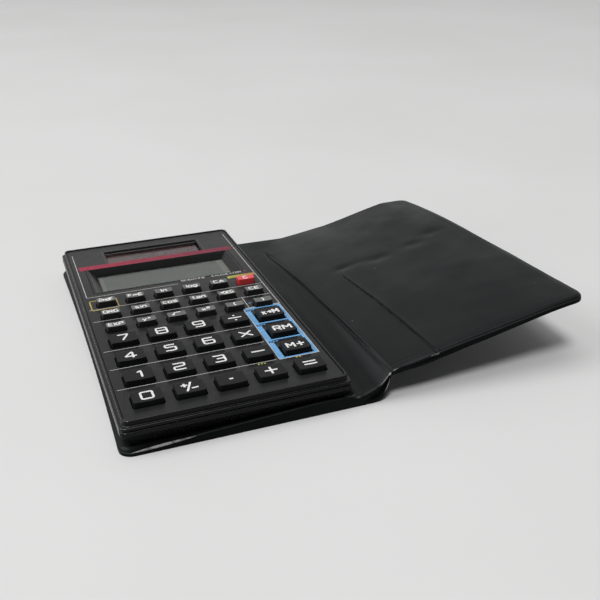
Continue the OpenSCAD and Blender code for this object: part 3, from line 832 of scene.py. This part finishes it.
# Height of the back leaf's front lip by place on X, and the share of it by distance from the front
FRONT_LIP = [(-35.8, 0.9), (-22, 1.8), (-10, 2.5), (24, 4.0), (36, 3.6), (39, 3.6)]
LIP_FACE = [(0, 0.45), (0.12, 0.75), (0.35, 0.92), (0.7, 1.0)]
SEAM_X = 37.6
LEAF_CORNER = 4.2
EDGE_STEPS = [0, 0.12, 0.35, 0.7, 1.1, 1.6, 2.2, 2.8, 3.4, 4.4]


def spaced(low, high, step, fine_low, fine_high):
    """Places from low to high, close together at the ends that ask for it."""
    start = [low + s for s in EDGE_STEPS] if fine_low else [low]
    end = [high - s for s in reversed(EDGE_STEPS)] if fine_high else [high]
    count = math.ceil((end[0] - start[-1]) / step)
    middle = [start[-1] + (end[0] - start[-1]) * k / count for k in range(1, count)]
    return start + middle + end


def half_length(from_edge):
    """Half length of a leaf, shorter where its corner is rounded off."""
    if from_edge >= LEAF_CORNER:
        return LEAF_HALF
    back = LEAF_CORNER - from_edge
    return LEAF_HALF - LEAF_CORNER + math.sqrt(LEAF_CORNER ** 2 - back ** 2)


def edge_drop(distance):
    """How far the inner face rolls down close to a welded edge."""
    return 0.3 * (1 - smooth_share(0, 1.2, distance)) + 0.07 * math.exp(-((distance - 2.6) / 0.3) ** 2)


def fold_height(e):
    """Height of the inner face at the fold, swollen towards the front."""
    return LEAF_T + 1.8 * math.exp(-(e + LEAF_HALF) / 35) - edge_drop(LEAF_HALF - abs(e))


def ripple(x, y, size, seed):
    return noise.noise(Vector((x / size, y / size, seed)))


def back_point(x, e, reach, upper):
    """Point of the back leaf at a place across it and along it."""
    side = x - LEAF_LEFT
    bow = 0.9 * (1 - (e / LEAF_HALF) ** 2) * (1 - smooth_share(0, 7, side))
    distance = min(side, reach - abs(e))
    flat = 1 - smooth_share(33, SEAM_X, x)
    if not upper:
        lifted = 0.3 * (1 - smooth_share(0, 1.6, distance)) * flat if e > -60 else 0.0
        return (x + bow, LEAF_MID + e, lifted)
    swell = smooth_share(33.5, SEAM_X, x)
    inner = LEAF_T - 0.01 - edge_drop(distance) - 0.5 * (1 - smooth_share(0, 2.2, side))
    inner += (fold_height(e) - inner) * swell
    front = e + reach
    lip = between(FRONT_LIP, x) * between(LIP_FACE, front)
    share = (1 - smooth_share(1.3, 2.8, front)) * (1 - smooth_share(34, SEAM_X, x))
    return (x + bow, LEAF_MID + e, inner + (lip - inner) * share)


def cover_droop(u, e):
    """How far the cover bends back from its plane, kept above the table."""
    rear = max(0.0, (e - 10) / 58) ** 2 * between(REAR_DROOP, u)
    outer = 0.5 * smooth_share(55, COVER_W, u)
    plane = (CREASE + ACROSS * u + ALONG * e).z
    return min(rear + outer, max(0.0, plane - LEAF_T / 2 - 0.06))


def crease_groove(u, e):
    """Depth of the furrow along the crease, which is sharp at the rear and softer in front."""
    sharp = smooth_share(-85, -32, e)
    depth = (0.4 + 0.9 * sharp) * (1 - smooth_share(44, 54, e))
    return depth * math.exp(-((u - between(FURROW, e)) / (1.0 - 0.42 * sharp)) ** 2)


def cover_offset(u, e, upper):
    """Offset from the cover's middle plane of its inner or its outer face."""
    reach = half_length(COVER_W - u)
    distance = min(COVER_W - u, reach - abs(e))
    wave = (0.25 * ripple(u, e, 23, 1.5) + 0.07 * ripple(u, e, 8, 4.5)) * smooth_share(0, 14, u)
    wave -= cover_droop(u, e)
    front = e + reach
    if not upper:
        rise = 0.55 * (1 - smooth_share(0, 2.5, min(COVER_W - u, reach - e))) * smooth_share(0, 6, u)
        welt = max(0.0, 1.2 - 0.02 * u) * (1 - smooth_share(0, 2.2, front)) * smooth_share(0, 13, u)
        return wave - LEAF_T / 2 + rise - welt
    roll = edge_drop(distance) + 0.3 * (1 - smooth_share(0, 1.1, front)) * smooth_share(2, 8, u)
    groove = crease_groove(u, e)
    dents = 0.0
    for du, de, depth, size in DENTS:
        dents += depth * math.exp(-(((u - du) / size) ** 2 + ((e - de) / size * 1.7) ** 2))
    slit = 0.28 * math.exp(-((u - between(SLIT, e) + 0.15) / 0.2) ** 2) * (1 - smooth_share(4, 11, e))
    return wave + LEAF_T / 2 - roll - groove - dents - slit


def cover_point(u, e, upper, extra=0.0):
    return CREASE + ACROSS * u + ALONG * e + OUT * (cover_offset(u, e, upper) + extra)


def spine_point(t, e, upper):
    """Point of the spine at a share of the way from the fold to the crease."""
    crease = cover_point(0, e, upper)
    x = SEAM_X + (crease.x - SEAM_X) * t
    y = LEAF_MID + e + (crease.y - LEAF_MID - e) * t
    if not upper:
        return Vector((x, y, crease.z * t ** 6))
    start = fold_height(e)
    u = (x - crease.x) / ACROSS.x
    groove = crease_groove(u, e) - crease_groove(0, e)
    return Vector((x, y, start + (crease.z - start) * t ** 2.7 - groove * smooth_share(0, 0.4, t)))


def skin_faces(stations, rows):
    """Faces of the upper and lower skins of a slab, of its back end and of its two sides."""
    below = stations * rows
    faces = []
    for i in range(stations - 1):
        for j in range(rows - 1):
            a = i * rows + j
            faces.append([a, a + rows, a + rows + 1, a + 1])
            faces.append([below + a, below + a + 1, below + a + rows + 1, below + a + rows])
        back = i * rows + rows - 1
        faces.append([back, back + rows, below + back + rows, below + back])
    for i in (0, stations - 1):
        for j in range(rows - 1):
            a = i * rows + j
            faces.append([a, a + 1, below + a + 1, below + a])
    return faces


def front_points(top, bottom, depth):
    """Four points between the skins at a station's front end, the middle two set back by a depth."""
    layer = min(0.95, 0.4 * (top - bottom).length)
    down = (bottom - top).normalized() * layer
    inward = Vector((0, depth, 0))
    return [top + down, top + down + inward, bottom - down + inward, bottom - down]


def front_faces(stations, rows):
    """Faces of a slab's front end, with the caps at its two sides."""
    below = stations * rows

    def column(i):
        return [i * rows] + [2 * below + 4 * i + k for k in range(4)] + [below + i * rows]

    faces = []
    for i in range(stations - 1):
        near, far = column(i), column(i + 1)
        faces += [[near[k], near[k + 1], far[k + 1], far[k]] for k in range(5)]
    return faces + [column(0), column(stations - 1)]


def slab_shape(upper, lower, depth=None):
    """Closed shape between two grids of points. Depths, one for each station, hollow its front end."""
    stations = len(upper)
    rows = len(upper[0])
    points = [p for line in upper for p in line] + [p for line in lower for p in line]
    for i in range(stations):
        points += front_points(Vector(upper[i][0]), Vector(lower[i][0]), depth[i] if depth else 0.0)
    shape = Shape()
    shape.add(points, skin_faces(stations, rows) + front_faces(stations, rows))
    return shape


def add_bead(shape, path, radius):
    """Thin round welt along a path, tapered at both ends."""
    rings = []
    for k, point in enumerate(path):
        run = Vector(path[min(k + 1, len(path) - 1)]) - Vector(path[max(k - 1, 0)])
        side = run.cross(Vector((0, 1, 0))).normalized()
        r = radius * (0.15 + 0.85 * math.sin(math.pi * k / (len(path) - 1)))
        turns = [2 * math.pi * i / 8 for i in range(8)]
        forward = Vector((0, r, 0))
        rings.append([Vector(point) + side * r * math.cos(a) + forward * math.sin(a) for a in turns])
    shape.loft(rings, 1)


def make_back_leaf(material, glint_skin):
    places = spaced(LEAF_LEFT, 33.0, 2.5, True, False)
    places += [33.8, 34.6, 35.2, 35.7, 36.2, 36.7, 37.2, SEAM_X]
    rows = spaced(-LEAF_HALF, LEAF_HALF, 3.0, True, True)
    grids = []
    for upper in (True, False):
        grid = []
        for x in places:
            reach = half_length(x - LEAF_LEFT)
            grid.append([back_point(x, e * reach / LEAF_HALF, reach, upper) for e in rows])
        grids.append(grid)
    shape = slab_shape(*grids)
    # Painted highlight: a pale welt along the top of the back leaf's front lip, as a streak of light.
    add_bead(shape, [line[2] for line, x in zip(grids[0], places) if -33 < x < -14], 0.42)
    piece = shape.make("wallet_back", [material, glint_skin], "wallet_vinyl", 50)
    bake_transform(piece)
    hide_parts("wallet_back_leaf", "wallet_back_lining")


def make_cover(material, glint_skin):
    """Spine and cover in one skin, spine up to the crease and cover past it."""
    shares = [k / 20 for k in range(15)] + [0.75 + 0.0125 * k for k in range(20)]
    places = [0.15 * k for k in range(15)] + [2.3, 2.6, 3.0, 3.6] + spaced(4.4, 13.6, 1.3, False, False)
    places += [14.0 + 0.2 * k for k in range(16)] + spaced(17.4, COVER_W, 1.3, False, True)
    rows = spaced(-LEAF_HALF, LEAF_HALF, 1.6, True, True)
    grids = []
    for upper in (True, False):
        grid = [[spine_point(t, e, upper) for e in rows] for t in shares]
        for u in places:
            share = half_length(COVER_W - u) / LEAF_HALF
            grid.append([cover_point(u, e * share, upper) for e in rows])
        grids.append(grid)
    depth = []
    for top, bottom in zip(*grids):
        gap = top[0].z - bottom[0].z - 1.6
        depth.append(1.1 * smooth_share(38, 43, top[0].x) * smooth_share(0, 1.2, gap))
    shape = slab_shape(*grids, depth)
    ends = [(top[0], bottom[0]) for top, bottom in zip(*grids)]
    # Painted glints: pale welts along the front edges of the spine, at the crease and at the slit's end, and
    # one on the spine's lower layer.
    for start, end, radius in ((42.5, 46.6, 0.16), (46.4, 47.6, 0.3), (48.0, 51.4, 0.14), (60.2, 64.8, 0.19)):
        edge = [top + Vector((0, 0.05, -0.05)) for top, bottom in ends if start < top.x < end]
        add_bead(shape, edge, radius)
    add_bead(shape, [bottom + Vector((0, 0.05, 0.8)) for top, bottom in ends if 44.6 < top.x < 47], 0.16)
    piece = shape.make("wallet_cover", [material, glint_skin], "wallet_vinyl", 50)
    start = CREASE - ACROSS * 10.6
    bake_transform(piece)
    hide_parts("wallet_spine", "wallet_cover_leaf", "wallet_cover_board")
    return piece


def make_pocket(material, cover):
    """Thin lining sheet with a free edge along the slit, let into the cover on its other sides."""
    rows = spaced(-LEAF_HALF + 0.5, SLIT[-1][0], 1.6, True, False)
    steps = [0, 0.25, 0.6, 1.1, 1.8]
    fine = len(steps)
    columns = 52
    right = COVER_W - 0.6
    grids = []
    for upper in (True, False):
        grid = []
        for k in range(columns):
            line = []
            for e in rows:
                left = between(SLIT, e)
                first = left + steps[-1]
                share = (k - fine + 1) / (columns - fine)
                u = left + steps[k] if k < fine else first + (right - first) * share
                reach = half_length(COVER_W - u) - 0.4
                place = max(e, -reach)
                edge = min(COVER_W - u, half_length(COVER_W - u) + place)
                ahead = SLIT[-1][0] - e
                proud = 0.3 * smooth_share(0, 2.4, edge) * smooth_share(0, 40, ahead)
                proud += 0.15 * (1 - smooth_share(0, 1.4, u - left)) * smooth_share(0, 5, ahead)
                line.append(cover_point(u, place, True, proud + 0.02 if upper else -0.12))
            grid.append(line)
        grids.append(grid)
    piece = slab_shape(*grids).make("wallet_pocket", [material], "wallet_vinyl", 50)
    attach(piece, "cover")
    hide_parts("wallet_cover_pocket")


# Scene

def make_floor(material):
    shape = Shape()
    shape.loft(box_rings(-4000, 4000, -4000, 4000, -20, 0, 0.5))
    mesh = bpy.data.meshes.new("floor")
    mesh.from_pydata([Vector(point) * MM for point in shape.points], [], shape.faces)
    mesh.materials.append(material)
    floor = bpy.data.objects.new("floor", mesh)
    bpy.context.collection.objects.link(floor)


def finish_inner_parts():
    """Materials of the pieces inside the case and the wallet."""
    finishes = {"lcd_glass": liquid_crystal("lcd_panel"),
                "solar_cell": photocell("solar_cell_film"),
                "zebra_connector": moulded("strip_rubber", (0.5, 0.3, 0.33), 0.6),
                "solar_leads": moulded("lead_sleeve", (0.45, 0.04, 0.03), 0.4),
                "circuit_board": moulded("board_laminate", (0.05, 0.18, 0.07), 0.35),
                "processor_chip": moulded("chip_resin", (0.02, 0.02, 0.02), 0.5),
                "supply_capacitors": moulded("capacitor_sleeve", (0.02, 0.04, 0.16), 0.35),
                "case_screws": metal("screw_steel", (0.6, 0.6, 0.62)),
                "wallet_back_stiffener": moulded("stiff_board", (0.35, 0.28, 0.2), 0.8)}
    for node, material in finishes.items():
        set_material(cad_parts[node], material)


def finish_body():
    case = moulded("case_plastic", (0.005, 0.0053, 0.0054), 0.27, worn=2.5, bump=0.05, gloss=(0.1, 0.8, 0.7))
    face = moulded("face_film", (0.016, 0.0165, 0.0165), 0.3, worn=1.5, grain=1800, bump=0.06)
    bezel = moulded("bezel_plastic", (0.003, 0.0032, 0.0032), 0.22, worn=2.5, bump=0.08,
                    gloss=(0.07, 0.6, 0.6, 0.93, 1.0))
    finish_case(case, face, bezel)


def make_panes():
    clear = clear_pane("clear_acrylic", (0.95, 0.97, 0.95))
    tinted = clear_pane("tinted_acrylic", (0.85, 0.78, 0.79))
    make_pane("display_pane", "display_window", 52.0, 16.8, DISPLAY_Y, 7.7, 8.4, clear)
    make_pane("solar_pane", "solar_window", 39.8, 14.0, SOLAR_Y, 8.2, 9.0, tinted)


def finish_keys():
    # The lighter top tones of the small keys and the red key are painted light on their tops.
    charcoal = moulded("small_key_plastic", (0.013, 0.0133, 0.013), 0.42, worn=1.3, top=(0.15, 0.154, 0.15),
                       gloss=(0.15, 0.15, 0.15))
    black = moulded("large_key_plastic", (0.006, 0.0063, 0.0065), 0.4, worn=2.5, gloss=(0.12, 0.2, 0.36))
    red = moulded("red_key_plastic", (0.5, 0.035, 0.04), 0.4, worn=1.1, top=(0.72, 0.1, 0.12),
                  gloss=(0.3, 0.3, 0.3))
    make_mat(moulded("mat_rubber", (0.3, 0.3, 0.28), 0.6))
    make_keys(charcoal, black, red, ink("white_ink", (0.86, 0.86, 0.85)))


def finish_prints():
    crimson = fading_ink("crimson_ink", (0.36, 0.035, 0.07), (0.2, 0.035, 0.06), -31, 31)
    ochre = fading_ink("ochre_ink", (0.55, 0.44, 0.13), (0.44, 0.31, 0.12), -31.2, -21.8)
    amber = fading_ink("amber_ink", (0.42, 0.45, 0.09), (0.5, 0.23, 0.08), 20.7, 31.3)
    make_prints(ink("grey_ink", (0.55, 0.55, 0.54)), ink("dim_ink", (0.09, 0.09, 0.09)),
                ink("black_ink", (0.012, 0.012, 0.013)), crimson, ochre, ink("blue_ink", (0.16, 0.42, 0.76)),
                amber, ink("magenta_ink", (0.4, 0.05, 0.15)))


def make_calculator():
    finish_body()
    finish_inner_parts()
    make_panes()
    finish_keys()
    finish_prints()


def make_wallet():
    skin = vinyl("wallet_vinyl")
    glint_skin = painted_glint_vinyl("painted_glint_vinyl")
    make_back_leaf(skin, glint_skin)
    make_pocket(skin, make_cover(skin, glint_skin))


make_camera()
make_world()
make_lamp("key_lamp", (-1.6, -2.5, 5.6), 1.7, 190)
make_lamp("overhead", (-0.6, 0.6, 5.0), 4.0, 62)
make_lamp("side_fill", (-1.0, 0.1, 0.9), 0.8, 5.5)
make_floor(floor_finish("pale_floor"))
make_calculator()
make_wallet()
bpy.context.scene.view_settings.view_transform = "Standard"
